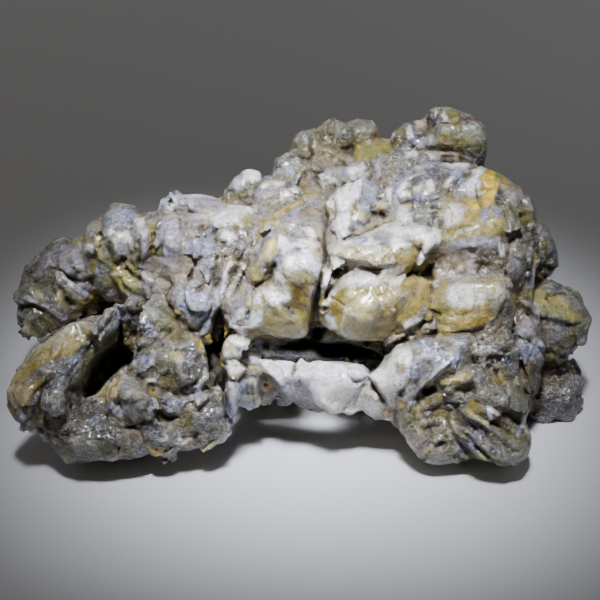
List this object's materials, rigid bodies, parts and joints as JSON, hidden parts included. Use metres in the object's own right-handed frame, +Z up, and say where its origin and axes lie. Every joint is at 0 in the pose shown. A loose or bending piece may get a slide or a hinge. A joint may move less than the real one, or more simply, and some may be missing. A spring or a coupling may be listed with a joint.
{
  "type": "desert viewing stone",
  "caption": "Craggy natural viewing stone with a bridge over a recess, a cleft in its left foot and a peak at the back; it stands free on flat pads.",
  "frame": {"origin": "on the ground, below the middle of the stone's box", "axes": "+X the stone's right as seen from its front, +Y its back, +Z up"},
  "size_m": [0.1839, 0.1039, 0.082],
  "materials": {
    "stone": "waxy, half polished by wind"
  },
  "bodies": {
    "root": {"stone": "stone"}
  },
  "joints": []
}
